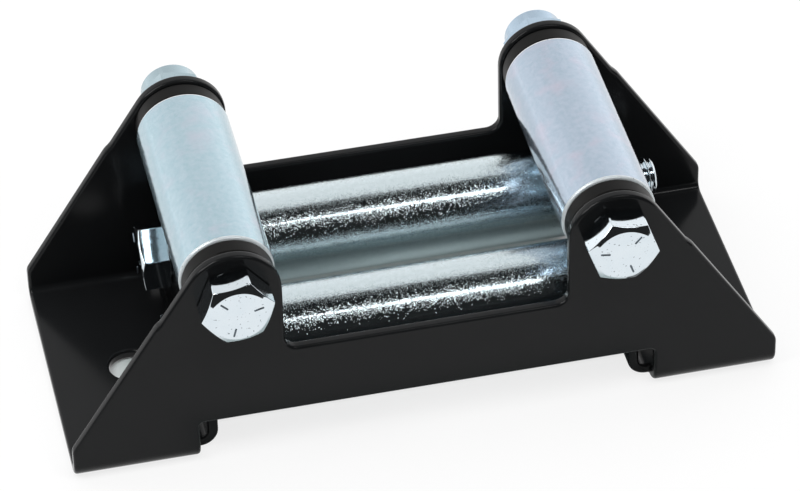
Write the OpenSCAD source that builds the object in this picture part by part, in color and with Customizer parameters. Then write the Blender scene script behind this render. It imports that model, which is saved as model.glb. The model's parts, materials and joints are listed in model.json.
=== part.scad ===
// Roller fairlead: a bent sheet frame that carries two cross rollers above two long rollers.
// X runs along the long rollers, Y from the heads of the cross bolts to their nuts, and Z up from the
// mounting face. The origin is on the mounting face, midway between the mounting holes.

/* [Mounting] */
// Distance between the two mounting holes
mount_spacing = 124; // [112:1:150]
// Diameter of a mounting hole
mount_hole_d = 9.5; // [7:0.5:12]
// From the centre of a mounting hole to the end of the frame
mount_to_end = 18.25; // [12:0.25:30]
// From the centre of a mounting hole to the face of the tab beside it
mount_to_tab = 15; // [14:0.5:24]

/* [Sheet] */
// Thickness of the frame's sheet
sheet_t = 2.5; // [1.5:0.1:3.5]
// Inside radius of the bends
bend_r = 1.7; // [0.8:0.1:3]
// Corner cut beside a tab's bend, along the frame
relief_along = 0.6; // [0.5:0.1:4]
// Gap between a tab's edge and the bend of the wall beside it
relief_across = 0.5; // [0.3:0.1:2]

/* [Walls] */
// Height of the wall's lower edge above the mounting face
wall_lift = 11; // [9:0.5:14]
// Radius at the ends of the wall's lower edge
lift_corner_r = 1.2; // [0.5:0.1:3]
// Height of the upright edge at each end of a wall
end_h = 8.2; // [7:0.1:12]
// Radius where that edge meets the slanted flank
end_corner_r = 3; // [1:0.5:5]
// Sheet left around a cross roller's outline at its ear
ear_margin = 0.15; // [0:0.05:3]
// How far the edge between the ears lies below the tops of the long rollers
saddle_drop = 1.6; // [0:0.1:5]
// Radius where that edge meets an ear
saddle_corner_r = 3; // [1:0.5:6]
// Outward step in the slanted flank, where two cuts meet
flank_step = 0.4; // [0.2:0.1:1]
// How far that step lies below the axis of a cross roller
flank_step_drop = 5; // [3:0.5:12]

/* [Tabs] */
// From the axis of a long roller to the top of the tab
tab_rim = 10.8; // [9:0.1:14]
// Radius at the top corners of a tab
tab_corner_r = 9; // [2:0.5:10]

/* [Rollers] */
// Outside diameter of all four rollers
roller_d = 21.3; // [18:0.1:26]
// Wall of the roller tubes
tube_wall = 2.75; // [1.5:0.05:3.5]
// Chamfer on the ends of the tubes
tube_chamfer = 0.6; // [0.2:0.1:1]
// Gap for the rope between the two long rollers
rope_gap = 12.6; // [6:0.1:20]
// Gap for the rope between the two cross rollers
rope_sweep = 64.1; // [40:0.1:66]
// Gap between a long roller and the wall beside it
wall_gap = 3.25; // [1:0.05:8]
// Height of the long rollers above the mounting face
roller_lift = 8.75; // [6:0.25:16]
// Gap between the long rollers and the cross rollers
stack_gap = 5.1; // [3:0.1:12]

/* [Bushes] */
// Thickness of a bush's flange
flange_t = 4.1; // [2:0.1:6]
// How far the flange stays inside the roller's outline
flange_inset = 0.4; // [0:0.1:2]
// Rounding on the flange's outer edges
flange_round = 0.5; // [0.2:0.1:0.8]
// Length of the spigot inside the tube
spigot_l = 12; // [6:0.5:20]
// Chamfer on the spigot's end
spigot_chamfer = 0.6; // [0.2:0.1:1]

/* [Bolts and nuts] */
// Diameter of the bolts
bolt_d = 9.525; // [8:0.025:10]
// Distance across the flats of the heads and nuts
hex_af = 14.29; // [13:0.01:17]
// How far the turned end face of a hex stays inside its flats
hex_face_inset = 0.9; // [0.1:0.1:1.5]
// Slope of the chamfer that turns the corners off
hex_chamfer_angle = 30; // [15:1:35]
// Height of a bolt head, with its washer face
head_h = 7.1; // [5:0.1:8]
// Thickness of the washer face under a head
washer_face_t = 0.4; // [0.2:0.1:0.8]
// How far the washer face stays inside the flats of the head
washer_face_inset = 0.3; // [0.1:0.1:1]
// Height of a lock nut
nut_h = 9.8; // [8.5:0.1:13]
// Height of the collar that holds a nut's nylon ring
collar_h = 3.4; // [2.8:0.1:4.5]
// Outside radius of that collar
collar_r = 6.8; // [6.4:0.1:7]
// Height of the nylon ring
ring_h = 2.2; // [1:0.1:2.4]
// Width of the nylon ring from bore to rim
ring_w = 1.1; // [0.6:0.1:1.2]
// Lip of the collar that is curled over the nylon ring
lip_t = 0.7; // [0.4:0.1:1]
// End of a cross bolt left standing out of its nut
cross_thread_out = 0.8; // [0.6:0.1:6]
// End of a long bolt left standing out of its nut
long_thread_out = 5.5; // [0.6:0.1:8]
// Chamfer on the bolt's end
bolt_chamfer = 1; // [0.5:0.1:1.5]
// Turn of the left cross bolt's head
left_head_turn = 9.2; // [-30:0.1:30]
// Turn of the right cross bolt's head
right_head_turn = -10.5; // [-30:0.1:30]
// Turn of the long bolts' heads
long_head_turn = -25; // [-30:0.1:30]
// Turn of the cross bolts' nuts
cross_nut_turn = 12; // [-30:0.1:30]
// Turn of the long bolts' nuts
long_nut_turn = 5; // [-30:0.1:30]

/* [Fits] */
// Gap around a bolt where it passes through the sheet
hole_gap = 0.2; // [0.1:0.05:0.4]
// Running gap between a bolt and the bush that turns on it
run_gap = 0.08; // [0.02:0.01:0.1]
// Gap between a spigot and its tube
press_gap = 0.02; // [0.01:0.01:0.05]
// End play between a flange and the sheet beside it
end_play = 0.3; // [0.2:0.05:0.6]
// Gap between a bolt's thread and its nut and nylon ring
thread_gap = 0.03; // [0.01:0.01:0.1]
// Gap between a nylon ring and its pocket
pocket_gap = 0.02; // [0.01:0.01:0.1]

/* [Hidden] */
$fn = 72;
node = "all";
cut_over = 1;

powder_black = "#26272a";
zinc = "#c4d2da";
zinc_bright = "#d9e1e6";
nylon_black = "#2b2c2e";
nylon_white = "#e8e6dc";

roller_r = roller_d / 2;
tube_bore_r = roller_r - tube_wall;
bolt_r = bolt_d / 2;
hole_r = bolt_r + hole_gap;
thread_r = bolt_r + thread_gap;
hex_ac = hex_af / cos(30);
ring_z = nut_h - lip_t - ring_h;
bend_out_r = bend_r + sheet_t;

// Axes of the rollers
long_y = rope_gap / 2 + roller_r;
long_z = roller_lift + roller_r;
cross_x = rope_sweep / 2 + roller_r;
cross_z = long_z + roller_d + stack_gap;

// Outlines of the frame
frame_l = mount_spacing + 2 * mount_to_end;
inside_w = rope_gap + 2 * (roller_d + wall_gap);
frame_w = inside_w + 2 * sheet_t;
tab_x = mount_spacing / 2 - mount_to_tab;
tab_y = frame_w / 2 - bend_out_r - relief_across;
tab_top = long_z + tab_rim;
foot_x = tab_x + bend_out_r + relief_along;
ear_r = roller_r + ear_margin;
saddle_x = cross_x - ear_r;
saddle_z = long_z + roller_r - saddle_drop;
frame_h = cross_z + ear_r;

// Lengths along each roller's axis
cross_grip = frame_w;
long_grip = 2 * (tab_x + sheet_t);
cross_tube_l = inside_w - 2 * (end_play + flange_t);
long_tube_l = 2 * (tab_x - end_play - flange_t);

// Sides and ends that the four rollers are named after
SIDES = ["left", "right"];
ENDS = ["front", "back"];
NODES = concat(
    ["frame"],
    [for (s = SIDES) str("cross_roller_", s)],
    [for (e = ENDS) str("long_roller_", e)],
    [for (s = SIDES) for (e = ENDS) str("cross_bush_", s, "_", e)],
    [for (e = ENDS) for (s = SIDES) str("long_bush_", e, "_", s)],
    [for (p = ["bolt", "nut", "nut_ring"]) for (s = SIDES) str("cross_", p, "_", s)],
    [for (p = ["bolt", "nut", "nut_ring"]) for (e = ENDS) str("long_", p, "_", e)]
);

// A rectangle that is open upwards, with both lower corners rounded
module cup_outline(half_w, top, r) {
    translate([-half_w, r]) square([2 * half_w, top - r]);
    translate([r - half_w, 0]) square([2 * (half_w - r), top]);
    for (side = [-1, 1]) translate([side * (half_w - r), r]) circle(r);
}

// One half of a wall's outline: foot, rounded end, slanted flank and ear.
// The flank is tangent to the ear, so its normal comes from the end point's bearing and distance.
module half_wall_outline() {
    end_x = frame_l / 2;
    flank_r = ear_r + flank_step;
    to_end = [end_x - cross_x, end_h - cross_z];
    turn = atan2(to_end.y, to_end.x) + acos(flank_r / norm(to_end));
    out = [cos(turn), sin(turn)];
    flank = out * [cross_x, cross_z] + flank_r;
    corner_x = end_x - end_corner_r;
    corner = [corner_x, (flank - end_corner_r - out.x * corner_x) / out.y];
    step_z = cross_z - flank_step_drop;
    step_x = (flank - out.y * step_z) / out.x;
    ear = [cross_x, cross_z];
    polygon([
        [0, 0], [end_x, 0], [end_x, corner.y], corner + end_corner_r * out,
        [step_x, step_z], [step_x - flank_step / out.x, step_z],
        ear + ear_r * out, ear, [saddle_x, cross_z], [0, cross_z]
    ]);
    translate(corner) circle(end_corner_r);
    translate(ear) circle(ear_r);
}

// A whole wall seen from the front, with the dip between the ears and the cut under its middle
module wall_outline() {
    difference() {
        for (side = [0, 1]) mirror([side, 0]) half_wall_outline();
        translate([0, saddle_z]) cup_outline(saddle_x, frame_h, saddle_corner_r);
        translate([0, wall_lift]) mirror([0, 1]) cup_outline(foot_x, wall_lift + cut_over, lift_corner_r);
    }
}

// The bent channel seen from its end: base, two bends and two walls
module channel_section() {
    difference() {
        cup_outline(frame_w / 2, frame_h + cut_over, bend_out_r);
        translate([0, sheet_t]) cup_outline(inside_w / 2, frame_h + cut_over, bend_r);
    }
}

// One tab seen from the front: flat root, bend and upright
module tab_section() {
    translate([tab_x + bend_out_r, 0]) square([relief_along + cut_over, sheet_t]);
    translate([tab_x, bend_out_r]) square([sheet_t, tab_top - bend_out_r]);
    translate([tab_x + bend_out_r, bend_out_r]) intersection() {
        difference() {
            circle(bend_out_r);
            circle(bend_r);
        }
        translate([-bend_out_r, -bend_out_r]) square(bend_out_r);
    }
}

// One tab seen along the frame, with rounded top corners
module tab_outline() {
    translate([0, tab_top]) mirror([0, 1]) cup_outline(tab_y, tab_top + cut_over, tab_corner_r);
}

module tab() {
    intersection() {
        rotate([90, 0, 0]) linear_extrude(frame_w, center = true) tab_section();
        rotate([90, 0, 90]) linear_extrude(frame_l) tab_outline();
    }
}

module frame() {
    color(powder_black) difference() {
        union() {
            intersection() {
                rotate([90, 0, 90]) linear_extrude(frame_l + cut_over, center = true) channel_section();
                rotate([90, 0, 0]) linear_extrude(frame_w + cut_over, center = true) wall_outline();
            }
            for (side = [0, 1]) mirror([side, 0, 0]) tab();
        }
        for (side = [-1, 1]) {
            translate([side * mount_spacing / 2, 0, -cut_over])
                cylinder(d = mount_hole_d, h = sheet_t + 2 * cut_over);
            at_cross(side) cylinder(r = hole_r, h = frame_w + cut_over, center = true);
            at_long(side) cylinder(r = hole_r, h = long_grip + cut_over, center = true);
        }
    }
}

// Turns a piece made along Z so that it lies along X or Y
module along_x() { rotate([0, 90, 0]) rotate([0, 0, 90]) children(); }
module along_y() { rotate([-90, 0, 0]) children(); }

// A tube with chamfered ends, centred on its axis
module roller_tube(l) {
    inner = tube_chamfer / 2;
    color(zinc) rotate_extrude() polygon([
        [tube_bore_r, inner - l / 2], [tube_bore_r + inner, -l / 2],
        [roller_r - tube_chamfer, -l / 2], [roller_r, tube_chamfer - l / 2],
        [roller_r, l / 2 - tube_chamfer], [roller_r - tube_chamfer, l / 2],
        [tube_bore_r + inner, l / 2], [tube_bore_r, l / 2 - inner]
    ]);
}

// A flanged bush whose spigot starts at z = 0 and points down into the tube
module bush() {
    flange_r = roller_r - flange_inset;
    spigot_r = tube_bore_r - press_gap;
    bore_r = bolt_r + run_gap;
    color(nylon_black) rotate_extrude() {
        translate([bore_r, 0]) square([flange_r - flange_round - bore_r, flange_t]);
        translate([bore_r, flange_round]) square([flange_r - bore_r, flange_t - 2 * flange_round]);
        for (z = [flange_round, flange_t - flange_round]) {
            translate([flange_r - flange_round, z]) circle(flange_round);
        }
        polygon([
            [bore_r, 0], [bore_r, -spigot_l], [spigot_r - spigot_chamfer, -spigot_l],
            [spigot_r, spigot_chamfer - spigot_l], [spigot_r, 0]
        ]);
    }
}

// A hexagon prism with its corners turned off at the lower end, and at the upper end if asked
module hex_block(h, both_ends) {
    face_r = hex_af / 2 - hex_face_inset;
    corner_r = hex_ac / 2;
    drop = (corner_r - face_r) * tan(hex_chamfer_angle);
    intersection() {
        cylinder(d = hex_ac, h = h, $fn = 6);
        rotate_extrude() polygon([
            [0, 0], [face_r, 0], [corner_r, drop],
            [corner_r, both_ends ? h - drop : h], [both_ends ? face_r : corner_r, h], [0, h]
        ]);
    }
}

// A bolt whose head is seated at z = 0 and whose shank points up through the grip
module bolt(grip, thread_out, turn) {
    face_r = hex_af / 2 - washer_face_inset;
    end_z = grip + nut_h + thread_out;
    color(zinc_bright) {
        translate([0, 0, -head_h]) rotate(turn) hex_block(head_h - washer_face_t, false);
        rotate_extrude() polygon([
            [0, -head_h / 2], [face_r, -head_h / 2], [face_r, 0], [bolt_r, 0],
            [bolt_r, end_z - bolt_chamfer], [bolt_r - bolt_chamfer, end_z], [0, end_z]
        ]);
    }
}

// A lock nut seated at z = 0, with a pocket for its nylon ring under the collar's curled lip
module lock_nut(turn) {
    color(zinc) difference() {
        union() {
            rotate(turn) hex_block(nut_h - collar_h, true);
            rotate_extrude() {
                square([collar_r, nut_h - lip_t]);
                square([collar_r - lip_t, nut_h]);
                translate([collar_r - lip_t, nut_h - lip_t]) circle(lip_t);
            }
        }
        translate([0, 0, -cut_over]) cylinder(r = thread_r, h = nut_h + 2 * cut_over);
        translate([0, 0, ring_z]) cylinder(r = thread_r + ring_w, h = ring_h);
        translate([0, 0, ring_z]) cylinder(r = thread_r + ring_w / 2, h = nut_h);
    }
}

// The nylon ring of a lock nut that is seated at z = 0
module nut_ring() {
    color(nylon_white) translate([0, 0, ring_z + pocket_gap]) difference() {
        cylinder(r = thread_r + ring_w - pocket_gap, h = ring_h - 2 * pocket_gap);
        translate([0, 0, -cut_over]) cylinder(r = thread_r, h = ring_h + 2 * cut_over);
    }
}

// The axis of the cross roller on one side, and of the long roller at one end
module at_cross(side) { translate([side * cross_x, 0, cross_z]) along_y() children(); }
module at_long(end) { translate([0, end * long_y, long_z]) along_x() children(); }

// Seats along such an axis: a tube's end, the sheet under a bolt head and the sheet under a nut
module at_tube_end(l, facing) { mirror([0, 0, facing < 0 ? 1 : 0]) translate([0, 0, l / 2]) children(); }
module at_head(grip) { translate([0, 0, -grip / 2]) children(); }
module at_nut(grip) { translate([0, 0, grip / 2]) children(); }

function shown(name) = node == "all" || node == name;

if (shown("frame")) frame();
for (i = [0, 1]) {
    way = 2 * i - 1;
    side = SIDES[i];
    end = ENDS[i];
    head_turn = i == 0 ? left_head_turn : right_head_turn;
    if (shown(str("cross_roller_", side))) at_cross(way) roller_tube(cross_tube_l);
    if (shown(str("cross_bolt_", side)))
        at_cross(way) at_head(cross_grip) bolt(cross_grip, cross_thread_out, -head_turn);
    if (shown(str("cross_nut_", side))) at_cross(way) at_nut(cross_grip) lock_nut(cross_nut_turn);
    if (shown(str("cross_nut_ring_", side))) at_cross(way) at_nut(cross_grip) nut_ring();
    if (shown(str("long_roller_", end))) at_long(way) roller_tube(long_tube_l);
    if (shown(str("long_bolt_", end)))
        at_long(way) at_head(long_grip) bolt(long_grip, long_thread_out, long_head_turn);
    if (shown(str("long_nut_", end))) at_long(way) at_nut(long_grip) lock_nut(long_nut_turn);
    if (shown(str("long_nut_ring_", end))) at_long(way) at_nut(long_grip) nut_ring();
    for (j = [0, 1]) {
        facing = 2 * j - 1;
        if (shown(str("cross_bush_", side, "_", ENDS[j])))
            at_cross(way) at_tube_end(cross_tube_l, facing) bush();
        if (shown(str("long_bush_", end, "_", SIDES[j])))
            at_long(way) at_tube_end(long_tube_l, facing) bush();
    }
}
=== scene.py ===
"""Looks of a roller fairlead: a powder-coated bent frame, four zinc-plated rollers and their fastenings.

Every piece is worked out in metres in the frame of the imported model, stands for one of its nodes and
rides on that node's body. Lengths are written in millimetres and turned to metres where a mesh is made.
"""
import json
import logging
import math
from abc import ABC, abstractmethod
from dataclasses import dataclass, field
from enum import Enum, IntEnum
from functools import partial
from typing import Callable

import bmesh
import bpy
import numpy as np
from bpy.types import ID, Material, NodeOutputs, NodeSocket, NodeTree, Object
from mathutils import Matrix, Vector


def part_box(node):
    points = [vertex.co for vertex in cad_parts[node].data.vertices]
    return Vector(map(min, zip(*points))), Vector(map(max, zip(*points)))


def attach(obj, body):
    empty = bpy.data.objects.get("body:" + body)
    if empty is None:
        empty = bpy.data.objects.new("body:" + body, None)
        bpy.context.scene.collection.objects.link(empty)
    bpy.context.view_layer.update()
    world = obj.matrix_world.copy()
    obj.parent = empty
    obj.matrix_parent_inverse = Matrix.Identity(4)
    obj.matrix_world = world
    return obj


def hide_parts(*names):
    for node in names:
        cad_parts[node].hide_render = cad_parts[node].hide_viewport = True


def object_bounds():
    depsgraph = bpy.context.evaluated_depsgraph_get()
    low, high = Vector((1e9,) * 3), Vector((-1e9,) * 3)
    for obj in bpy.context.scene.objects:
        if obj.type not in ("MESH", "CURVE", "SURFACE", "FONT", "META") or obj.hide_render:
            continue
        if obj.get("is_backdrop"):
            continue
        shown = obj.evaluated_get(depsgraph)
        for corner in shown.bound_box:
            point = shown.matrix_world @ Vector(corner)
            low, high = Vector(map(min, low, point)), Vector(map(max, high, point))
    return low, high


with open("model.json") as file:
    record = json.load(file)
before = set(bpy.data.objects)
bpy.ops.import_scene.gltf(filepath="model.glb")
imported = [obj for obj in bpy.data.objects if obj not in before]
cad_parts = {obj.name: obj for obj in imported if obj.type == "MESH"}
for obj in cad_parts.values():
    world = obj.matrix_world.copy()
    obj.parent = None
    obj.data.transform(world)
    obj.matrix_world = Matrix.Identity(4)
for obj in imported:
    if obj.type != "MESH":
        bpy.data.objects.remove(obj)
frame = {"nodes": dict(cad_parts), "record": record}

Array = np.ndarray
Pair = tuple[float, float]
Triple = tuple[float, float, float]
Adder = Callable[..., NodeOutputs]

MM = 0.001
ROUND_STEPS = 7
FLAT_WEIGHT = 90
BODY_OF = {node: body for body, nodes in frame["record"]["behaviour"]["bodies"].items() for node in nodes}

# Draw lines are this much longer than wide, as a scale along the tube
STREAK_STRETCH = 0.04
# Noise textures keep mostly within these limits, as inputs of a Map Range node
NOISE_SPAN = {1: 0.3, 2: 0.7}
WHITE = (1, 1, 1, 1)

# Rows of a turned hexagon: shares of the face's radius and of the chamfer, and its edge's inset and drop
FACE_SHARES = (0.12, 0.35, 0.6, 0.82, 0.95)
CHAMFER_SHARES = (0.05, 0.25, 0.5, 0.75)
EDGE_SHARES = ((1.0, 0.0), (0.45, 0.25), (0.12, 0.62), (0.0, 1.0))
# How many of the face's rows fall within the bore of a nut
BORE_ROWS = 3
LIP_STEPS = 6
# Rows of a dash, as shares of a quarter turn of its pillow. The first lies below the head's face.
DASH_RISES = (-0.3, 0.0, 0.3, 0.6, 0.85, 1.0)

log = logging.getLogger("fairlead")


class Slot(Enum):
    """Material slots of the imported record."""

    POWDER_COAT = "powder_coat"
    ROLLER_ZINC = "roller_zinc"
    FASTENER_ZINC = "fastener_zinc"
    BUSH_NYLON = "bush_nylon"
    RING_NYLON = "nut_ring_nylon"


class TubeFace(IntEnum):
    """Material numbers of a tube's faces."""

    DRAWN = 0
    SAWN = 1
    RIM = 2


class LampShape(Enum):
    """Outlines of a lamp."""

    BOX = "RECTANGLE"
    OVAL = "ELLIPSE"


class Along(Enum):
    """Which way an axle lies. The value holds the directions of its local x, y and z."""

    X = ((0, 1, 0), (0, 0, 1), (1, 0, 0))
    Y = ((1, 0, 0), (0, 0, -1), (0, 1, 0))

    @property
    def index(self) -> int:
        """Number of the world axis that the axle lies along."""
        return int(np.argmax(self.value[2]))

    @property
    def stretch(self) -> Triple:
        """Scale that draws a pattern out along the axle."""
        return tuple(STREAK_STRETCH if way else 1.0 for way in self.value[2])


def onto_node(node: str, along: Along, local: Array) -> Array:
    """Sets points on a node's middle line, which starts at the low end of the node's box.

    Args:
        node: Name of the node.
        along: Which way the line lies.
        local: Points in millimetres, shape (n, 3), with z along the line.

    Returns:
        Points in metres in the frame of the model, shape (n, 3).
    """
    low, high = (np.array(corner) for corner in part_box(node))
    origin = (low + high) / 2
    origin[along.index] = low[along.index]
    return origin + MM * local @ np.array(along.value, float)


def extent(node: str, along: Along) -> float:
    """Length of a node along an axle's direction, in millimetres."""
    low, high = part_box(node)
    return (high[along.index] - low[along.index]) / MM


def upright_radius(node: str) -> float:
    """Outside radius of a round node on a level axle, from its height, in millimetres."""
    low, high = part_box(node)
    return (high.z - low.z) / 2 / MM


# Shaping with arrays

def unit(vectors: Array) -> Array:
    """Scales each vector in the last axis to length one."""
    return vectors / np.linalg.norm(vectors, axis=-1, keepdims=True)


def once_round(steps: int) -> Array:
    """Evenly spaced angles once round, in radians."""
    return np.arange(steps) * (2 * math.pi / steps)


def round_corners(corners: Array, radii: Array) -> Array:
    """Rounds every corner of a closed outline.

    A corner's arc has its centre on the corner's bisector, as far off as the radius over the sine of half
    the corner's angle, and turns evenly from one side's touching point to the other's.

    Args:
        corners: Outline corners, shape (n, 2).
        radii: Radius at each corner, shape (n,).

    Returns:
        The rounded outline, with as many points on each arc as ROUND_STEPS.
    """
    back = unit(np.roll(corners, 1, axis=0) - corners)
    ahead = unit(np.roll(corners, -1, axis=0) - corners)
    half = np.arccos(np.clip(np.sum(back * ahead, axis=1), -1, 1)) / 2
    centre = corners + unit(back + ahead) * (radii / np.sin(half))[:, None]
    reach = (radii / np.tan(half))[:, None]
    start = corners + back * reach - centre
    end = corners + ahead * reach - centre
    sweep = (math.pi - 2 * half)[:, None]
    share = np.linspace(0, 1, ROUND_STEPS)[None, :]
    from_start = np.sin((1 - share) * sweep) / np.sin(sweep)
    from_end = np.sin(share * sweep) / np.sin(sweep)
    arcs = centre[:, None] + from_start[..., None] * start[:, None] + from_end[..., None] * end[:, None]
    return arcs.reshape(-1, 2)


def turned(radius: Array, height: Array, angle: Array) -> Array:
    """Turns rows of radii and heights about the local z axis.

    The point of row i at angle j is (r cos a, r sin a, h), with r and h allowed to change with the angle.

    Args:
        radius: Radii, shape (rows, 1) or (rows, angles).
        height: Heights, shape (rows, 1) or (rows, angles).
        angle: Angles in radians, shape (angles,).

    Returns:
        Grid of points, shape (rows, angles, 3).
    """
    radius, height, angle = np.broadcast_arrays(radius, height, angle[None, :])
    return np.stack([radius * np.cos(angle), radius * np.sin(angle), height], axis=-1)


@dataclass
class Shell:
    """Points and faces of one piece, gathered grid by grid in local millimetres."""

    points: list[Array] = field(default_factory=list)
    faces: list[Array] = field(default_factory=list)
    count: int = 0

    def add_grid(self, grid: Array, ring: bool) -> None:
        """Adds a closed surface made of a grid whose columns go once round.

        Neighbouring rows are joined by quads. Rows of a ring join up too, last to first. Otherwise the
        first and last rows are closed by fans to their middles. Faces are flipped if the enclosed volume,
        the sum of the corners' triple products, comes out negative.

        Args:
            grid: Points, shape (rows, columns, 3).
            ring: True if the last row joins the first.
        """
        rows, columns = grid.shape[:2]
        index = np.arange(rows * columns).reshape(rows, columns)
        across = np.roll(index, -1, axis=1)
        upper = np.roll(index, -1, axis=0) if ring else index[1:]
        beside = np.roll(upper, -1, axis=1)
        lower = slice(None) if ring else slice(0, -1)
        quads = np.stack([index[lower], across[lower], beside, upper], axis=-1).reshape(-1, 4)
        points = grid.reshape(-1, 3)
        faces = [quads]
        if not ring:
            poles = np.stack([grid[0].mean(axis=0), grid[-1].mean(axis=0)])
            points = np.concatenate([points, poles])
            first, last = (np.full(columns, rows * columns + k) for k in (0, 1))
            faces.append(np.stack([first, across[0], index[0]], axis=-1))
            faces.append(np.stack([last, index[-1], across[-1]], axis=-1))
        corners = [points[part] for part in faces]
        volume = sum(np.sum(np.cross(c[:, 0], c[:, 1]) * c[:, 2]) for c in corners)
        volume += np.sum(np.cross(corners[0][:, 0], corners[0][:, 2]) * corners[0][:, 3])
        self.points.append(points)
        self.faces += [(part if volume > 0 else part[:, ::-1]) + self.count for part in faces]
        self.count += len(points)

    def to_object(self, node: str, kind: str, along: Along) -> Object:
        """Makes the piece's object, with its place in its mesh.

        Args:
            node: Node whose middle line the local frame is set on.
            kind: What the piece is. Its name is the node's and this.
            along: Which way that line lies.

        Returns:
            The object, linked to the scene.
        """
        world = onto_node(node, along, np.concatenate(self.points))
        loops = np.concatenate([part.ravel() for part in self.faces])
        sizes = np.concatenate([np.full(len(part), part.shape[1]) for part in self.faces])
        name = f"{node}_{kind}"
        mesh = bpy.data.meshes.new(name)
        mesh.vertices.add(len(world))
        mesh.vertices.foreach_set("co", world.astype(np.float32).ravel())
        mesh.loops.add(len(loops))
        mesh.loops.foreach_set("vertex_index", loops.astype(np.int32))
        mesh.polygons.add(len(sizes))
        mesh.polygons.foreach_set("loop_start", (np.cumsum(sizes) - sizes).astype(np.int32))
        mesh.polygons.foreach_set("use_smooth", np.ones(len(sizes), bool))
        mesh.update(calc_edges=True)
        mesh.validate()
        piece = linked(name, mesh)
        even_shading(piece)
        return piece


def lathe(node: str, kind: str, along: Along, corners: list, radii: list, columns: int) -> Object:
    """Turns a closed outline of radius and height, its corners rounded, about an axle.

    Args:
        node: Node that the piece is set on.
        kind: What the piece is.
        along: Which way its axle lies.
        corners: Corners of the outline, in millimetres.
        radii: Rounding at each corner.
        columns: Steps once round.

    Returns:
        The piece.
    """
    outline = round_corners(np.array(corners, float), np.array(radii, float))
    shell = Shell()
    shell.add_grid(turned(outline[:, :1], outline[:, 1:], once_round(columns)), ring=True)
    return shell.to_object(node, kind, along)


def linked(name: str, data: ID) -> Object:
    """Makes an object and links it to the scene.

    Args:
        name: Name of the object.
        data: Its mesh, lamp or camera.

    Returns:
        The object.
    """
    made = bpy.data.objects.new(name, data)
    bpy.context.scene.collection.objects.link(made)
    return made


def even_shading(piece: Object) -> None:
    """Weights the shading normals by face size, so that flats stay flat beside small rounds."""
    modifier = piece.modifiers.new("even_shading", "WEIGHTED_NORMAL")
    modifier.weight = FLAT_WEIGHT


# Finishes

def linear(colour: str) -> tuple[float, float, float, float]:
    """Turns an sRGB hex colour to linear light.

    Args:
        colour: A colour such as #c9d7e0.

    Returns:
        Red, green, blue and alpha.
    """
    srgb = np.array([int(colour[k:k + 2], 16) for k in (1, 3, 5)]) / 255
    low = srgb / 12.92
    high = ((srgb + 0.055) / 1.055) ** 2.4
    return (*np.where(srgb <= 0.04045, low, high).tolist(), 1.0)


def add_node(tree: NodeTree, kind: str, inputs: dict | None = None, **settings) -> NodeOutputs:
    """Adds a shader node, sets it and fills its inputs.

    Args:
        tree: Node tree that gets the node.
        kind: Node type without its ShaderNode prefix.
        inputs: Value, or output socket to link, for each input name or number.
        **settings: Properties of the node.

    Returns:
        The new node's outputs.
    """
    node = tree.nodes.new("ShaderNode" + kind)
    for name, value in settings.items():
        setattr(node, name, value)
    for name, value in (inputs or {}).items():
        if isinstance(value, NodeSocket):
            tree.links.new(value, node.inputs[name])
        else:
            node.inputs[name].default_value = value
    return node.outputs


def per_metre(size_mm: float) -> float:
    """Texture scale at which one cell of a pattern measures the given millimetres."""
    return 1 / (size_mm * MM)


def blank_material(name: str) -> tuple[Material, Adder]:
    """Makes a material whose node tree is empty.

    Args:
        name: Name of the material.

    Returns:
        The material, and what adds nodes to it.
    """
    made = bpy.data.materials.new(name)
    made.use_nodes = True
    made.node_tree.nodes.clear()
    return made, partial(add_node, made.node_tree)


@dataclass(frozen=True)
class Finish(ABC):
    """What a surface is made of and how it was made."""

    name: str
    slot: Slot

    @abstractmethod
    def shade(self, add: Adder, point: NodeSocket) -> NodeSocket:
        """Adds the finish's nodes.

        Args:
            add: Adds a node to the material.
            point: Object coordinates.

        Returns:
            The shader's output.
        """

    def material(self) -> Material:
        """Makes the finish's material the first time that it is asked for.

        Returns:
            The material.
        """
        known = bpy.data.materials.get(self.name)
        if known:
            return known
        made, add = blank_material(self.name)
        add("OutputMaterial", {"Surface": self.shade(add, add("TexCoord")["Object"])})
        return made


@dataclass(frozen=True)
class Skin(Finish):
    """A surface in soft clouds of two close tones, over a fine relief."""

    colour: str
    deep_colour: str
    smooth: float
    rough: float
    cloud_mm: float
    relief_mm: float
    relief_depth_mm: float
    cloud_detail: float = 3.0
    metal: float = 0.0
    ior: float = 1.5
    shine: float = 0.5
    pit_colour: str | None = None
    pit_mm: float = 0.55
    pit_span: Pair = (0.695, 0.75)
    pit_most: float = 0.8

    def shade(self, add: Adder, point: NodeSocket) -> NodeSocket:
        """Tone and gloss that change softly together, with specks where a plating skipped its pits.

        Args:
            add: Adds a node to the material.
            point: Object coordinates.

        Returns:
            The shader's output.
        """
        cloud, height = (
            add("TexNoise", {"Vector": point, "Scale": per_metre(size), "Detail": detail})[0]
            for size, detail in ((self.cloud_mm, self.cloud_detail), (self.relief_mm, 2.0)))
        deep, pale = linear(self.deep_colour), linear(self.colour)
        tone = add("Mix", {0: cloud, 6: deep, 7: pale}, data_type="RGBA")[2]
        if self.pit_colour:
            pit = add("TexNoise", {"Vector": point, "Scale": per_metre(self.pit_mm), "Detail": 1.0})[0]
            low, high = self.pit_span
            pitted = add("MapRange", {0: pit, 1: low, 2: high, 3: 0.0, 4: self.pit_most})[0]
            tone = add("Mix", {0: pitted, 6: tone, 7: linear(self.pit_colour)}, data_type="RGBA")[2]
        gloss = add("MapRange", {0: cloud, **NOISE_SPAN, 3: self.smooth, 4: self.rough})
        relief = add("Bump", {"Height": height, "Distance": self.relief_depth_mm * MM})
        return add("BsdfPrincipled", {
            "Base Color": tone, "Metallic": self.metal, "Roughness": gloss[0], "IOR": self.ior,
            "Specular IOR Level": self.shine, "Normal": relief[0]})[0]


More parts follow.
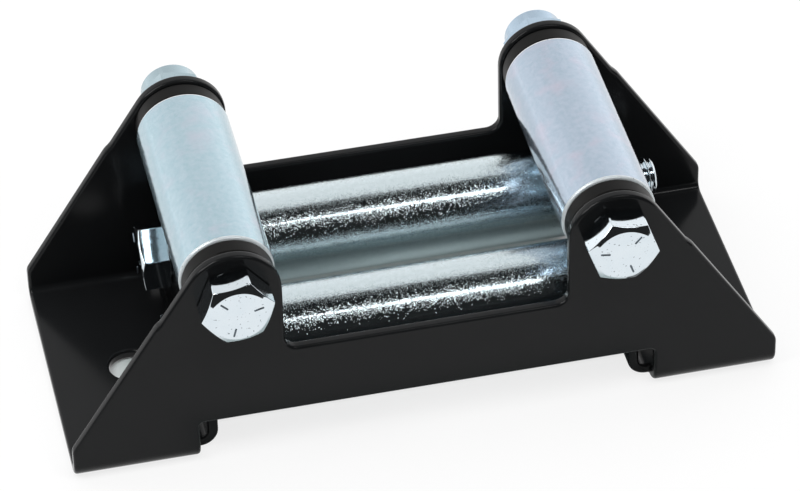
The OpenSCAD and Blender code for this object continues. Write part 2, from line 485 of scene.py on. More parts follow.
@dataclass(frozen=True)
class PowderCoat(Skin):
    """Polyester powder, sprayed on sheet steel and baked: black, glossy, with a shallow orange peel."""

    colour: str = "#1a1b1c"
    deep_colour: str = "#151617"
    smooth: float = 0.15
    rough: float = 0.2
    cloud_mm: float = 17
    relief_mm: float = 1.1
    relief_depth_mm: float = 0.0035
    shine: float = 0.155


@dataclass(frozen=True)
class ForgedZinc(Skin):
    """Bright zinc on cold-forged fasteners: whiter and smoother than the tube, with a few small pits."""

    colour: str = "#e3ebf0"
    deep_colour: str = "#d5e0e7"
    smooth: float = 0.04
    rough: float = 0.09
    cloud_mm: float = 4
    relief_mm: float = 1.8
    relief_depth_mm: float = 0.004
    metal: float = 1.0
    pit_colour: str = "#6f767c"


@dataclass(frozen=True)
class MouldedNylon(Skin):
    """Moulded nylon: a satin skin with a very fine mould grain."""

    colour: str = "#100f0e"
    deep_colour: str = "#0b0b0b"
    smooth: float = 0.37
    rough: float = 0.47
    cloud_mm: float = 6
    relief_mm: float = 0.3
    relief_depth_mm: float = 0.003
    cloud_detail: float = 2.0
    ior: float = 1.53
    shine: float = 0.11


@dataclass(frozen=True)
class TubeZinc(Finish):
    """Bright zinc on drawn steel tube: blue-white metal with draw lines and a fine crystalline grain.

    The crystals of real plating are far finer than a pixel of the render. They are drawn as coarse as they
    need to be to sparkle one by one. A metal share below one stands for the milky film of passivation.
    """

    along: Along = Along.Y
    colour: str = "#b7cad4"
    deep_colour: str = "#a5c0ca"
    tint_colour: str = "#bcc5d1"
    metal: float = 0.78
    crystal_mm: float = 0.26
    level_share: float = 0.0
    crystal_slope: float = 0.12
    line_mm: float = 0.35
    line_depth_mm: float = 0.0008
    streak_mm: float = 2.2
    streak_share: float = 0.35
    mottle_mm: float = 1.3
    pale_span: Pair = (0.4, 0.95)
    bloom_mm: float = 6
    tint_span: Pair = (0.52, 0.75)
    tint_most: float = 0.8
    smooth: float = 0.11
    rough: float = 0.17

    def shade(self, add: Adder, point: NodeSocket) -> NodeSocket:
        """Streaks and soft blooms of colour, and a grain that breaks up what the metal mirrors.

        Each crystal leans its own random way, and by a random amount past the share that lies level.

        Args:
            add: Adds a node to the material.
            point: Object coordinates.

        Returns:
            The shader's output.
        """
        drawn = add("Mapping", {"Vector": point, "Scale": self.along.stretch})[0]
        streak, line, bloom, mottle = (
            add("TexNoise", {"Vector": where, "Scale": per_metre(size), "Detail": detail,
                             "Roughness": fine})[0]
            for where, size, detail, fine in (
                (drawn, self.streak_mm, 3.0, 0.5), (drawn, self.line_mm, 2.0, 0.5),
                (point, self.bloom_mm, 5.0, 0.5), (point, self.mottle_mm, 4.0, 0.65)))
        crystal = add("TexVoronoi", {"Vector": point, "Scale": per_metre(self.crystal_mm)})
        facing = crystal["Color"]
        chance = add("TexWhiteNoise", {"Vector": facing})["Value"]
        uneven = add("Math", {0: streak, 1: self.streak_share, 2: mottle}, operation="MULTIPLY_ADD")[0]
        low, high = self.pale_span
        paler = add("MapRange", {0: uneven, 1: low, 2: high})[0]
        deep, pale = linear(self.deep_colour), linear(self.colour)
        tone = add("Mix", {0: paler, 6: deep, 7: pale}, data_type="RGBA")[2]
        low, high = self.tint_span
        tinted = add("MapRange", {0: bloom, 1: low, 2: high, 3: 0.0, 4: self.tint_most})[0]
        tone = add("Mix", {0: tinted, 6: tone, 7: linear(self.tint_colour)}, data_type="RGBA")[2]
        gloss = add("MapRange", {0: bloom, **NOISE_SPAN, 3: self.smooth, 4: self.rough})
        lines = add("Bump", {"Height": line, "Distance": self.line_depth_mm * MM})[0]
        slope = add("MapRange", {0: chance, 1: self.level_share, 2: 1.0, 3: 0.0, 4: self.crystal_slope})[0]
        lean = add("VectorMath", {0: facing, 1: (0.5, 0.5, 0.5)}, operation="SUBTRACT")[0]
        tilt = add("VectorMath", {0: lean, "Scale": slope}, operation="SCALE")[0]
        tipped = add("VectorMath", {0: lines, 1: tilt}, operation="ADD")[0]
        facet = add("VectorMath", {0: tipped}, operation="NORMALIZE")
        return add("BsdfPrincipled", {
            "Base Color": tone, "Metallic": self.metal, "Roughness": gloss[0], "Normal": facet[0]})[0]


# Deep black with soft grey lights along every rounded edge
POWDER = PowderCoat("black_polyester_powder_coat", Slot.POWDER_COAT)
# A mirror broken into sparkling grain
LONG_ZINC = TubeZinc("bright_zinc_on_long_tube", Slot.ROLLER_ZINC, along=Along.X, colour="#d6e2e6",
                     deep_colour="#ccd9dd", tint_colour="#d0dce1", metal=1.0, crystal_mm=0.085,
                     level_share=0.1, crystal_slope=0.5, smooth=0.05, rough=0.09)
# Milky, with a green-blue cast on the left tube and a violet one on the right
LEFT_ZINC = TubeZinc("bright_zinc_on_left_tube", Slot.ROLLER_ZINC)
RIGHT_ZINC = TubeZinc("bright_zinc_on_right_tube", Slot.ROLLER_ZINC, colour="#b9c4d3", deep_colour="#a7b9c8",
                      tint_colour="#c2c0cf")
# Saw marks scatter the light to an even pale grey
SAWN_ZINC = ForgedZinc("bright_zinc_on_sawn_tube_ends", Slot.ROLLER_ZINC, colour="#dde3e5",
                       deep_colour="#c3ccd0", metal=0.4, smooth=0.36, rough=0.46)
# Painted highlight: near-white, smooth zinc on the round of the far rim, which shows a thin bright line
# there
HIGHLIGHT_RIM_ZINC = ForgedZinc("painted_highlight_zinc_on_far_rim", Slot.ROLLER_ZINC, colour="#fbfcfd", deep_colour="#f3f6f8")
# Near-white faces that mirror clearly, speckled with pits
FORGED = ForgedZinc("bright_zinc_on_bolts", Slot.FASTENER_ZINC)
# Painted shade: the raised dashes are darker zinc, standing in for the shade and dark reflections on them,
# and rougher
PAINTED_SHADE_DASH_ZINC = ForgedZinc("painted_shade_zinc_on_strength_dashes", Slot.FASTENER_ZINC, colour="#6a737a",
                       deep_colour="#596269", smooth=0.3, rough=0.4)
# Blue-grey with blurred lights, a little bluer on the right
NUT_ZINC = ForgedZinc("blue_zinc_on_nuts", Slot.FASTENER_ZINC, colour="#b0c2c9", deep_colour="#a3b6be",
                      pit_colour="#93a8b2", smooth=0.1, rough=0.2)
BLUE_NUT_ZINC = ForgedZinc("bluer_zinc_on_right_nut", Slot.FASTENER_ZINC, colour="#b4c6d6",
                           deep_colour="#a6bacb", pit_colour="#9db0c4", smooth=0.1, rough=0.2)
# Satin black, flatter than the powder
BLACK_NYLON = MouldedNylon("black_moulded_nylon", Slot.BUSH_NYLON)
# Creamy and dull
WHITE_NYLON = MouldedNylon("natural_nylon", Slot.RING_NYLON, colour="#e8e5da", deep_colour="#dcd8cb")


def settle(piece: Object, node: str, finish: Finish, *others: Finish) -> None:
    """Dresses a piece, and lets it stand for its node and ride on that node's body.

    Args:
        piece: The finished piece.
        node: Node that it replaces.
        finish: What it is made of.
        *others: Finishes of its faces with material numbers one and up.
    """
    for each in (finish, *others):
        piece.data.materials.append(each.material())
    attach(piece, BODY_OF[node])
    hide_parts(node)
    log.info("%s: %d points, %s", piece.name, len(piece.data.vertices), finish.name)


# Sub-assemblies

@dataclass
class BentFrame:
    """The frame: one sheet with two eared walls, two base ends and two tabs, its cut edges rounded."""

    node: str = "frame"
    edge_round: float = 0.75
    edge_segments: int = 4
    step_run: float = 1.6
    step_area: float = 1.6
    sharp_deg: float = 40
    flat_deg: float = 0.4
    weld: float = 0.002

    def build(self) -> Object:
        """Copies the sheet's solid, joins its triangles into whole faces and rounds every cut edge.

        Returns:
            The sheet's object.
        """
        mesh = frame["nodes"][self.node].data.copy()
        mesh.name = "bent_sheet"
        mesh.materials.clear()
        form = bmesh.new()
        form.from_mesh(mesh)
        bmesh.ops.remove_doubles(form, verts=form.verts, dist=self.weld * MM)
        bmesh.ops.dissolve_limit(form, angle_limit=math.radians(self.flat_deg), verts=form.verts,
                                 edges=form.edges)
        self.slant_steps(form)
        weight = form.edges.layers.float.new("bevel_weight_edge")
        for edge in self.cut_edges(form):
            edge[weight] = 1.0
        form.to_mesh(mesh)
        form.free()
        if "custom_normal" in mesh.attributes:
            mesh.attributes.remove(mesh.attributes["custom_normal"])
        mesh.polygons.foreach_set("use_smooth", np.ones(len(mesh.polygons), bool))
        piece = linked("bent_sheet", mesh)
        rounds = piece.modifiers.new("coated_edges", "BEVEL")
        rounds.limit_method = "WEIGHT"
        rounds.width = self.edge_round * MM
        rounds.segments = self.edge_segments
        rounds.use_clamp_overlap = False
        even_shading(piece)
        return piece

    def cut_edges(self, form: bmesh.types.BMesh) -> set[bmesh.types.BMEdge]:
        """Edges of the sheet where its faces meet at more than the sharp angle."""
        return {e for e in form.edges if e.calc_face_angle(0) > math.radians(self.sharp_deg)}

    def slant_steps(self, form: bmesh.types.BMesh) -> None:
        """Draws the outer edge of each small step in a flank down that flank, to a gentle ramp.

        A step is a small face between cut edges only. Its outer corners are those whose edge along the
        flank leads down.

        Args:
            form: Mesh of the sheet.
        """
        cut = self.cut_edges(form)
        small = [f for f in form.faces if f.calc_area() < self.step_area * MM ** 2]
        steps = [f for f in small if cut.issuperset(f.edges)]
        for face in steps:
            for corner in face.verts:
                flank = next(e for e in corner.link_edges if e not in face.edges[:])
                run = flank.other_vert(corner).co - corner.co
                if run.z < 0:
                    corner.co += run.normalized() * self.step_run * MM
        log.info("%d steps in the flanks slanted", len(steps))

    def dress(self) -> None:
        """Builds the sheet and powder-coats it."""
        settle(self.build(), self.node, POWDER)


@dataclass
class Roller:
    """A drawn tube that turns on a flanged nylon bush in each end."""

    tube_node: str
    bush_nodes: tuple[str, str]
    along: Along
    zinc: TubeZinc
    tube_wall: float = 2.75
    end_round: float = 0.75
    bore_round: float = 0.3
    flange_t: float = 4.1
    flange_round: float = 0.5
    flange_root: float = 0.1
    edge_break: float = 0.2
    spigot_chamfer: float = 0.6
    press_gap: float = 0.02
    bore_r: float = 4.8425
    columns: int = 192

    def build_tube(self) -> Object:
        """Makes the tube: a ring outline with broken edges, carried once round its axle.

        Faces between the rounded corners of one end are sawn. Those of the outside and the bore are drawn,
        and the round of the far rim gets near-white zinc, a painted highlight.

        Returns:
            The tube, with its kinds of faces as material numbers.
        """
        outer = upright_radius(self.tube_node)
        bore = outer - self.tube_wall
        length = extent(self.tube_node, self.along)
        corners = [(bore, 0), (outer, 0), (outer, length), (bore, length)]
        radii = [self.bore_round, self.end_round, self.end_round, self.bore_round]
        piece = lathe(self.tube_node, "tube", self.along, corners, radii, self.columns)
        row = np.arange(len(piece.data.polygons)) // self.columns
        drawn = np.isin(row, (2 * ROUND_STEPS - 1, 4 * ROUND_STEPS - 1))
        # Faces of the far rim's round, which take the painted highlight
        rim = (row >= 2 * ROUND_STEPS) & (row < 3 * ROUND_STEPS - 1)
        number = np.where(drawn, TubeFace.DRAWN, np.where(rim, TubeFace.RIM, TubeFace.SAWN))
        piece.data.polygons.foreach_set("material_index", number.astype(np.int32))
        return piece

    def build_bush(self, node: str, at_start: bool) -> Object:
        """Makes a bush: flange outside, spigot pointing into the tube.

        Args:
            node: The bush's node.
            at_start: True for the bush whose flange is at the low end of the axle.

        Returns:
            The piece.
        """
        flange_r = upright_radius(node)
        spigot_r = upright_radius(self.tube_node) - self.tube_wall - self.press_gap
        length = extent(node, self.along)
        corners = [(self.bore_r, 0), (flange_r, 0), (flange_r, self.flange_t), (spigot_r, self.flange_t),
                   (spigot_r, length - self.spigot_chamfer), (spigot_r - self.spigot_chamfer, length),
                   (self.bore_r, length)]
        if not at_start:
            corners = [(r, length - z) for r, z in corners]
        radii = [self.edge_break, self.flange_round, self.flange_round, self.flange_root]
        radii += [self.edge_break] * 3
        return lathe(node, "moulding", self.along, corners, radii, self.columns)

    def dress(self) -> None:
        """Builds the tube and both bushes and gives them their finishes."""
        settle(self.build_tube(), self.tube_node, self.zinc, SAWN_ZINC, HIGHLIGHT_RIM_ZINC)
        for node, at_start in zip(self.bush_nodes, (True, False)):
            settle(self.build_bush(node, at_start), node, BLACK_NYLON)


@dataclass
class Fastening:
    """A hex bolt through a roller, with its lock nut and the nut's nylon ring."""

    bolt_node: str
    nut_node: str
    ring_node: str
    along: Along
    head_turn: float
    nut_turn: float
    dash_turn: float
    nut_zinc: ForgedZinc = NUT_ZINC
    across_flats: float = 14.29
    corner_round: float = 0.35
    corner_crowding: float = 0.145
    sector_steps: int = 34
    edge_round: float = 0.14
    under_round: float = 0.3
    face_inset: float = 0.9
    chamfer_deg: float = 30
    head_h: float = 7.1
    washer_t: float = 0.4
    washer_inset: float = 0.3
    washer_root: Pair = (0.03, 0.04)
    washer_break: float = 0.08
    bolt_r: float = 4.7625
    neck_round: float = 0.1
    end_chamfer: float = 1.0
    pitch: float = 1.5875
    thread_depth: float = 0.613
    thread_root: float = 0.25
    thread_flank: float = 0.62
    thread_l: float = 20
    thread_gap: float = 0.03
    rows_per_turn: int = 14
    bore_chamfer: float = 0.4
    collar_h: float = 3.4
    collar_r: float = 6.8
    collar_root: Pair = (0.02, 0.05)
    lip_t: float = 0.7
    mouth_break: float = 0.15
    ring_h: float = 2.2
    ring_w: float = 1.1
    ring_round: float = 0.2
    ring_steps: int = 96
    pocket_gap: float = 0.02
    dashes: int = 3
    dash_l: float = 2.3
    dash_w: float = 0.45
    dash_h: float = 0.16
    dash_r: float = 4.5
    dash_taper: float = 0.8
    dash_steps: int = 28

    def hexagon(self, turn: float) -> tuple[Array, Array]:
        """Outline of the hexagon with rounded corners.

        Within a sector the angle runs from corner to corner as a sine-warped share, so that steps are
        smallest at the corners, where the outline bends most. On a flat the radius is the flat's distance
        over the cosine of the angle from the flat's middle. Near a corner it is the far crossing of the ray
        with the corner's circle.

        Args:
            turn: Angle of the first corner, in degrees.

        Returns:
            Angles once round, in radians, and the radius at each.
        """
        share = np.arange(self.sector_steps) / self.sector_steps
        warped = share - self.corner_crowding * np.sin(2 * math.pi * share)
        sectors = math.radians(turn) + (np.arange(6)[:, None] + warped[None, :]) * (math.pi / 3)
        angle = sectors.ravel()
        flat = self.across_flats / 2
        off = np.mod(angle - math.radians(turn) + math.pi / 6, math.pi / 3) - math.pi / 6
        centre = (flat - self.corner_round) / math.cos(math.pi / 6)
        touch_from_corner = math.pi / 6 - math.atan2(centre * math.sin(math.pi / 6), flat)
        on_flat = flat / np.cos(math.pi / 6 - np.abs(off))
        inside = np.maximum(self.corner_round ** 2 - (centre * np.sin(off)) ** 2, 0)
        on_corner = centre * np.cos(off) + np.sqrt(inside)
        return angle, np.where(np.abs(off) < touch_from_corner, on_corner, on_flat)

    @property
    def face_r(self) -> float:
        """Radius of the turned end face of a hexagon."""
        return self.across_flats / 2 - self.face_inset

    @property
    def chamfer_slope(self) -> float:
        """Fall of the turned chamfer for each millimetre outwards."""
        return math.tan(math.radians(self.chamfer_deg))

    def chamfer_rows(self, hexagon: Array) -> list[tuple[Array, Array]]:
        """Rows from the middle of a turned face over its chamfer to the side of the hexagon.

        Depth below the face grows with the radius past the face's edge times the chamfer's slope.

        Args:
            hexagon: Radius of the hexagon at each angle.

        Returns:
            Radii and depths of each row, of the hexagon's shape.
        """
        flat = np.zeros_like(hexagon)
        over = hexagon - self.face_r
        rows = [(flat + self.face_r * share, flat) for share in FACE_SHARES]
        rows += [(self.face_r + share * over, share * over * self.chamfer_slope) for share in CHAMFER_SHARES]
        rows += [(hexagon - inset, (over - inset) * self.chamfer_slope + drop)
                 for inset, drop in self.edge_round * np.array(EDGE_SHARES)]
        return rows

    def thread_radius(self, angle: Array, height: Array, start: float) -> Array:
        """Radius of the rolled thread.

        The share of a turn that is left over from height over pitch less angle gives the place in the
        groove. Flanks rise evenly between a flat root and a flat crest, and the groove runs out at start.

        Args:
            angle: Angles, shape (1, n).
            height: Heights, shape (rows, 1).
            start: Height where the thread begins.

        Returns:
            Radii, shape (rows, n).
        """
        place = np.mod(height / self.pitch - angle / (2 * math.pi), 1)
        rise = np.clip((np.abs(2 * place - 1) - self.thread_root) / self.thread_flank, 0, 1)
        full = np.clip((height - start) / self.pitch, 0, 1)
        return self.bolt_r - self.thread_depth * self.pitch * full * (1 - rise)

    def build_bolt(self) -> Object:
        """Makes the bolt as one grid of angles and rows, from the head's face to the thread's end.

        Returns:
            The bolt, with material number one on the dashes of its strength mark.
        """
        length = extent(self.bolt_node, self.along)
        angle, hexagon = self.hexagon(self.head_turn)
        same = np.zeros_like(hexagon)
        soft, softer = self.edge_round, self.edge_round * self.under_round
        under = self.head_h - self.washer_t
        washer = self.across_flats / 2 - self.washer_inset
        out, down = self.washer_root
        rows = [(r, z + self.dash_h) for r, z in self.chamfer_rows(hexagon)]
        rows += [(hexagon, under - soft), (hexagon - softer, under - softer), (hexagon - soft, under),
                 (washer + out, under), (washer, under + down), (washer, self.head_h - self.washer_break),
                 (washer - self.washer_break, self.head_h), (self.bolt_r + self.neck_round, self.head_h),
                 (self.bolt_r, self.head_h + self.neck_round)]
        radius, height = (np.stack([same + each for each in column]) for column in zip(*rows))
        start = length - self.thread_l
        turns = np.linspace(start, length, int(self.rows_per_turn * self.thread_l / self.pitch))[:, None]
        cone = self.bolt_r - self.end_chamfer + (length - turns)
        thread = np.minimum(self.thread_radius(angle[None, :], turns, start), cone)
        radius, height = np.concatenate([radius, thread]), np.concatenate([height, turns + same])
        shell = Shell()
        shell.add_grid(turned(radius, height, angle), ring=False)
        forged = sum(len(part) for part in shell.faces)
        for bearing in math.radians(self.dash_turn) + once_round(self.dashes):
            shell.add_grid(self.dash(bearing), ring=False)
        piece = shell.to_object(self.bolt_node, "hex_bolt", self.along)
        number = np.arange(len(piece.data.polygons)) >= forged
        piece.data.polygons.foreach_set("material_index", number.astype(np.int32))
        return piece

    def dash(self, bearing: float) -> Array:
        """One raised dash of the head's strength mark.

        Rings of a stadium outline shrink and rise like a pillow: at angle t the half width has shrunk by
        its taper times one less the cosine of t, and the ring stands out by the dash's height times sine t.

        Args:
            bearing: Bearing of the dash, in radians.

        Returns:
            Grid of points, shape (rows, columns, 3).
        """
        lift = np.array(DASH_RISES) * (math.pi / 2)
        half_w = self.dash_w / 2
        width = (half_w - self.dash_taper * half_w * (1 - np.cos(np.maximum(lift, 0))))[:, None]
        around = once_round(self.dash_steps)[None, :]
        run = (self.dash_l - self.dash_w) / 2
        along = np.sign(np.cos(around)) * run + width * np.cos(around) + self.dash_r
        aside = width * np.sin(around)
        rise = np.broadcast_to(self.dash_h * (1 - np.sin(lift))[:, None], along.shape)
        return np.stack([along * math.cos(bearing) - aside * math.sin(bearing),
                         along * math.sin(bearing) + aside * math.cos(bearing), rise], axis=-1)

    def build_nut(self) -> Object:
        """Makes the nut as a ring of rows: bore, turned face, hexagon, turned shoulder, collar and pocket.

        Returns:
            The piece.
        """
        length = extent(self.nut_node, self.along)
        angle, hexagon = self.hexagon(self.nut_turn)
        same = np.zeros_like(hexagon)
        bore = self.bolt_r + self.thread_gap
        hex_h = length - self.collar_h
        shoulder = hex_h - (self.collar_r - self.face_r) * self.chamfer_slope
        base = self.chamfer_rows(hexagon)[BORE_ROWS:]
        top = [(r, hex_h - z) for r, z in base if r.min() > self.collar_r]
        lip_r = self.collar_r - self.lip_t
        lip_z = length - self.lip_t
        mouth = bore + self.ring_w / 2
        ring_z = lip_z - self.ring_h
        out, down = self.collar_root
        rows = [(bore + self.bore_chamfer, 0)] + base + top[::-1]
        rows += [(self.collar_r + out, shoulder), (self.collar_r, shoulder + down)]
        rows += [(lip_r + self.lip_t * math.cos(a), lip_z + self.lip_t * math.sin(a))
                 for a in np.linspace(0, math.pi / 2, LIP_STEPS)]
        rows += [(mouth + self.mouth_break, length), (mouth, length - self.mouth_break), (mouth, lip_z),
                 (bore + self.ring_w, lip_z), (bore + self.ring_w, ring_z), (bore, ring_z),
                 (bore, self.bore_chamfer)]
        radius, height = (np.stack([same + each for each in column]) for column in zip(*rows))
        shell = Shell()
        shell.add_grid(turned(radius, height, angle), ring=True)
        return shell.to_object(self.nut_node, "lock_nut", self.along)

    def build_ring(self) -> Object:
        """Makes the nylon ring: a rounded rectangle carried once round the axle.

        Returns:
            The piece.
        """
        inner = self.bolt_r + self.thread_gap
        outer = inner + self.ring_w - self.pocket_gap
        length = extent(self.ring_node, self.along)
        corners = [(inner, 0), (outer, 0), (outer, length), (inner, length)]
        radii = [self.ring_round] * 4
        return lathe(self.ring_node, "insert", self.along, corners, radii, self.ring_steps)

    def dress(self) -> None:
        """Builds bolt, nut and ring and gives them their finishes."""
        settle(self.build_bolt(), self.bolt_node, FORGED, PAINTED_SHADE_DASH_ZINC)
        settle(self.build_nut(), self.nut_node, self.nut_zinc)
        settle(self.build_ring(), self.ring_node, WHITE_NYLON)


# Studio

def placed(axes: tuple[Vector, Vector, Vector], place: Triple) -> Matrix:
    """Matrix of a thing at a place, whose own x, y and z point along the given axes."""
    return Matrix.Translation(place) @ Matrix(axes).transposed().to_4x4()


def sheet(name: str, x_half: float, y_ends: Pair, z: float, paint: Material) -> Object:
    """Lays a level rectangle of one painted face.

    Args:
        name: Name of the object.
        x_half: Half its length, in metres.
        y_ends: Where it starts and ends from front to back.
        z: Its height.
        paint: Its material.

    Returns:
        The object.
    """
    near, far = y_ends
    mesh = bpy.data.meshes.new(name)
    mesh.from_pydata([(-x_half, near, z), (x_half, near, z), (x_half, far, z), (-x_half, far, z)], [],
                     [(0, 1, 2, 3)])
    mesh.materials.append(paint)
    return linked(name, mesh)


def ray_kinds(add: Adder) -> tuple[NodeSocket, NodeSocket]:
    """Adds nodes that tell one kind of ray from another.

    Args:
        add: Adds a node.

    Returns:
        One for rays of the camera, and one for rays that metal or glass sends on.
    """
    path = add("LightPath")
    mirrored = add("Math", {0: path["Is Glossy Ray"], 1: path["Is Transmission Ray"]}, operation="ADD")[0]
    return path["Is Camera Ray"], mirrored


@dataclass(frozen=True)
class Lamp:
    """A soft flat lamp that is aimed at the object."""

    name: str
    place: Triple
    size: Pair
    radiance: float
    mirrored: bool = True
    shape: LampShape = LampShape.BOX
    roll: float = 0
    lights: bool = True

    def build(self, target: Vector) -> None:
        """Hangs the lamp.

        Args:
            target: Point that it faces.
        """
        light = bpy.data.lights.new(self.name, "AREA")
        light.shape = self.shape.value
        light.size, light.size_y = self.size
        light.energy = self.radiance * math.pi * self.size[0] * self.size[1]
        lamp = linked(self.name, light)
        facing = (Vector(self.place) - target).normalized()
        across = (Vector((1, 0, 0)) - facing.x * facing).normalized()
        rolled = Matrix.Rotation(math.radians(self.roll), 4, "Z")
        lamp.matrix_world = placed((across, facing.cross(across), facing), self.place) @ rolled
        lamp.visible_glossy = self.mirrored
        lamp.visible_diffuse = self.lights
        lamp.visible_camera = False


@dataclass(frozen=True)
class Studio:
    """A white sweep behind the object and a darker room in front, over a pale floor."""

    sweep_top_deg: float = 82
    sweep_blur: float = 0.02
    sweep_light: float = 0.93
    horizon_light: float = 1.08
    horizon_rise: float = 0.62
    right_gain: float = 0.1
    side_gain: float = 0.4
    room_light: float = 0.02
    flag_z: float = 0.282
    flag_y: Pair = (-0.02, 0.078)
    flag_half: float = 1.0
    flag_colour: str = "#1a1c1e"
    floor_half: float = 1.6
    floor_y: Pair = (-0.22, 1.6)
    floor_drop: float = 0.00005
    floor_colour: str = "#f2f2f2"
    floor_white: float = 0.8
    far_white: float = 1.35
    far_y: Pair = (0.08, 0.4)
    # Painted shade: darker blue-grey paint of the floor in the shaded fields under the part
    painted_shade_colour: str = "#c6cfce"
    shade_half: Pair = (0.06, 0.055)
    gap_half: Pair = (0.055, 0.036)
    gap_middle: float = 0.014
    hole_half: Pair = (0.08, 0.02)
    shade_from: float = 0.75
    lamps: tuple[Lamp, ...] = (
        Lamp("overhead_softbox", (0.1, -0.5, 1.5), (1.8, 1.4), 1.9, mirrored=False),
        Lamp("front_strip", (0.3035, -0.3476, 0.704), (0.5, 0.13), 4.8, shape=LampShape.OVAL, roll=-15),
        Lamp("left_softbox", (-0.45, -0.16, 0.68), (0.26, 0.26), 9.5),
        Lamp("left_rim_light", (-0.63, -0.23, 0.466), (0.6, 0.22), 6.0, roll=-56.3, lights=False),
    )

    def build(self, target: Vector) -> None:
        """Sets up the world, the floor, the flag and the lamps.

        Args:
            target: Middle of the object.
        """
        self.build_world()
        self.build_floor()
        self.build_flag()
        for lamp in self.lamps:
            lamp.build(target)

    def build_world(self) -> None:
        """White to the camera. Metal shows that white behind a tilted plane and a dim room before it."""
        world = bpy.data.worlds.new("studio")
        bpy.context.scene.world = world
        world.use_nodes = True
        world.node_tree.nodes.clear()
        add = partial(add_node, world.node_tree)
        top = math.radians(self.sweep_top_deg)
        facing = (0.0, math.sin(top), -math.cos(top))
        way = add("TexCoord")["Generated"]
        side = add("VectorMath", {0: way, 1: facing}, operation="DOT_PRODUCT")["Value"]
        parts = add("SeparateXYZ", {0: way})
        rise = add("MapRange", {0: parts["Z"], 1: 0.0, 2: self.horizon_rise, 3: self.horizon_light,
                                4: self.sweep_light})[0]
        slant = add("Math", {0: parts["X"], 1: self.side_gain, 2: self.right_gain},
                    operation="MULTIPLY_ADD")[0]
        gain = add("Math", {0: parts["X"], 1: slant, 2: 1.0}, operation="MULTIPLY_ADD")[0]
        sweep = add("Math", {0: rise, 1: gain}, operation="MULTIPLY")[0]
        level, behind = (
            add("MapRange", {0: side, 1: -self.sweep_blur, 2: self.sweep_blur, 3: low, 4: high},
                interpolation_type="SMOOTHSTEP")[0]
            for low, high in ((self.room_light, sweep), (0.0, 1.0)))
        room, white = (add("Background", {"Strength": light, "Color": WHITE})[0] for light in (level, sweep))
        camera, mirrored = ray_kinds(add)
        seen = add("Math", {0: mirrored, 1: behind, 2: camera}, operation="MULTIPLY_ADD", use_clamp=True)[0]
        mixed = add("MixShader", {0: seen, 1: room, 2: white})
        add("OutputWorld", {"Surface": mixed[0]})

    def shade(self, add: Adder, point: NodeSocket, half: Pair, middle: float = 0.0) -> NodeSocket:
        """Adds nodes for a shaded field on the floor: one in its middle, falling to nothing at its edge.

        The larger of x and y, each as a share of half the field, tells how far out a point lies.

        Args:
            add: Adds a node to the floor's paint.
            point: Object coordinates.
            half: Half the field's length and width, in metres.
            middle: How far back the field's middle lies, in metres.

        Returns:
            The shade, from zero to one.
        """
        x_half, y_half = half
        size, shift = (1 / x_half, 1 / y_half, 0.0), (0.0, -middle / y_half, 0.0)
        scaled = add("VectorMath", {0: point, 1: size, 2: shift}, operation="MULTIPLY_ADD")[0]
        away = add("VectorMath", {0: scaled}, operation="ABSOLUTE")[0]
        sides = add("SeparateXYZ", {0: away})
        out = add("Math", {0: sides["X"], 1: sides["Y"]}, operation="MAXIMUM")[0]
        return add("MapRange", {0: out, 1: self.shade_from, 2: 1.0, 3: 1.0, 4: 0.0},
                   interpolation_type="SMOOTHSTEP")[0]

    def build_floor(self) -> None:
        """Lays the floor: pale paint, lifted towards white where the camera or metal sees it.

        Metal mirrors a wide field under the part without the lift, and the floor between the rollers and in
        the mounting holes stays in the part's shade for the camera too. In these fields the paint also turns
        a darker blue-grey, a painted shade. Far back the lift grows until the floor is as bright as the
        sweep, so that the rollers show no horizon.
        """
        paint, add = blank_material("pale_floor_paint")
        point = add("TexCoord")["Object"]
        wide = self.shade(add, point, self.shade_half)
        gap = self.shade(add, point, self.gap_half, self.gap_middle)
        hole = self.shade(add, point, self.hole_half)
        under = add("Math", {0: gap, 1: hole}, operation="MAXIMUM")[0]
        camera, mirrored = ray_kinds(add)
        seen = add("Math", {0: mirrored, 1: camera}, operation="ADD", use_clamp=True)[0]
        hidden = add("Math", {0: camera, 1: under}, operation="MULTIPLY")[0]
        shaded = add("Math", {0: mirrored, 1: wide, 2: hidden}, operation="MULTIPLY_ADD", use_clamp=True)[0]
        clear = add("Math", {0: seen, 1: shaded}, operation="SUBTRACT")[0]
        lift = add("Math", {0: clear, 1: self.floor_white}, operation="MULTIPLY")[0]
        # Painted shade: where shaded, the paint turns a darker blue-grey, standing in for the shade under
        # the part and the bluish light bounced off the zinc
        tone = add("Mix", {0: shaded, 6: linear(self.floor_colour), 7: linear(self.painted_shade_colour)},
                   data_type="RGBA")
        matt = add("BsdfDiffuse", {"Color": tone[2]})
        depth = add("SeparateXYZ", {0: point})["Y"]
        glow = add("MapRange", {0: depth, 1: self.far_y[0], 2: self.far_y[1], 3: 1.0, 4: self.far_white})[0]
        white = add("Emission", {"Color": WHITE, "Strength": glow})
        mixed = add("MixShader", {0: lift, 1: matt[0], 2: white[0]})
        add("OutputMaterial", {"Surface": mixed[0]})
        floor = sheet("floor", self.floor_half, self.floor_y, -self.floor_drop, paint)
        floor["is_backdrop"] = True

    def build_flag(self) -> None:
        """Hangs a black flag over the part, which only metal shows. It ends the white on the rollers."""
        cloth, add = blank_material("black_flag_cloth")
        matt = add("BsdfDiffuse", {"Color": linear(self.flag_colour)})
        add("OutputMaterial", {"Surface": matt[0]})
        flag = sheet("flag", self.flag_half, self.flag_y, self.flag_z, cloth)
        flag.visible_camera = False
        flag.visible_diffuse = False
        flag.visible_shadow = False
        flag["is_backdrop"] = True


@dataclass(frozen=True)
class PhotoCamera:
    """The photograph's viewpoint: angles in degrees, place in metres and lens in millimetres."""

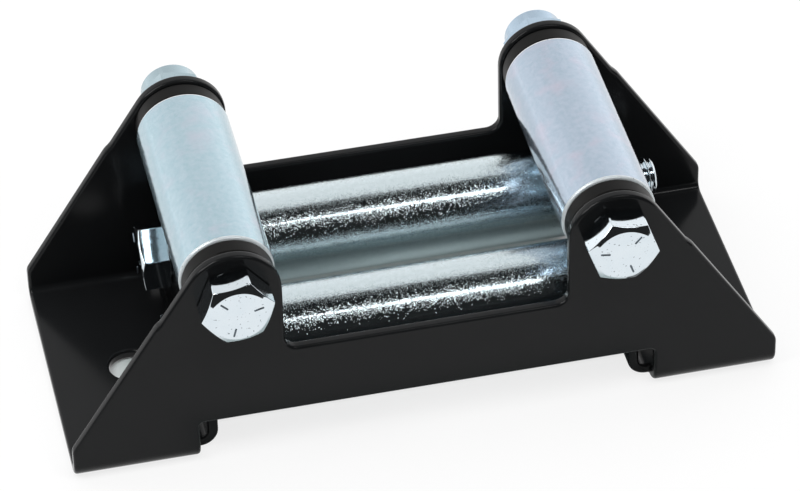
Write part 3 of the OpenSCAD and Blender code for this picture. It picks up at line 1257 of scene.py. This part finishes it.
    azimuth: float = -11.7394
    elevation: float = 39.3433
    roll: float = -1.5013
    place: Triple = (-0.154487, -0.748845, 0.651654)
    lens: float = 197.25
    sensor: float = 36.0
    nearest: float = 0.01
    farthest: float = 50

    def build(self) -> None:
        """Makes the scene's camera."""
        turn, lift, roll = (math.radians(a) for a in (self.azimuth, self.elevation, self.roll))
        back = Vector((math.sin(turn) * math.cos(lift), -math.cos(turn) * math.cos(lift), math.sin(lift)))
        right = Vector((math.cos(turn), math.sin(turn), 0))
        up = back.cross(right)
        across = math.cos(roll) * right + math.sin(roll) * up
        upward = math.cos(roll) * up - math.sin(roll) * right
        data = bpy.data.cameras.new("photo_camera")
        data.lens = self.lens
        data.sensor_width = self.sensor
        data.sensor_fit = "HORIZONTAL"
        data.clip_start = self.nearest
        data.clip_end = self.farthest
        camera = linked("photo_camera", data)
        camera.matrix_world = placed((across, upward, back), self.place)
        bpy.context.scene.camera = camera


def main() -> None:
    logging.basicConfig(level=logging.INFO, format="%(name)s %(message)s")
    cad_box = [list(corner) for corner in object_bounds()]
    middle = Vector(np.mean(cad_box, axis=0))
    bpy.context.scene.view_settings.view_transform = "Standard"
    PhotoCamera().build()
    Studio().build(middle)
    BentFrame().dress()
    for side, zinc, nut_zinc, head_turn, dash_turn in (
            ("left", LEFT_ZINC, NUT_ZINC, -9.2, -15), ("right", RIGHT_ZINC, BLUE_NUT_ZINC, 10.5, -50)):
        Roller(f"cross_roller_{side}", (f"cross_bush_{side}_front", f"cross_bush_{side}_back"),
               Along.Y, zinc).dress()
        Fastening(f"cross_bolt_{side}", f"cross_nut_{side}", f"cross_nut_ring_{side}", Along.Y,
                  head_turn, nut_turn=12, dash_turn=dash_turn, nut_zinc=nut_zinc).dress()
    for end in ("front", "back"):
        Roller(f"long_roller_{end}", (f"long_bush_{end}_left", f"long_bush_{end}_right"),
               Along.X, LONG_ZINC).dress()
        Fastening(f"long_bolt_{end}", f"long_nut_{end}", f"long_nut_ring_{end}", Along.X,
                  head_turn=-25, nut_turn=5, dash_turn=40, face_inset=0.5, chamfer_deg=22).dress()


if __name__ == "__main__":
    main()
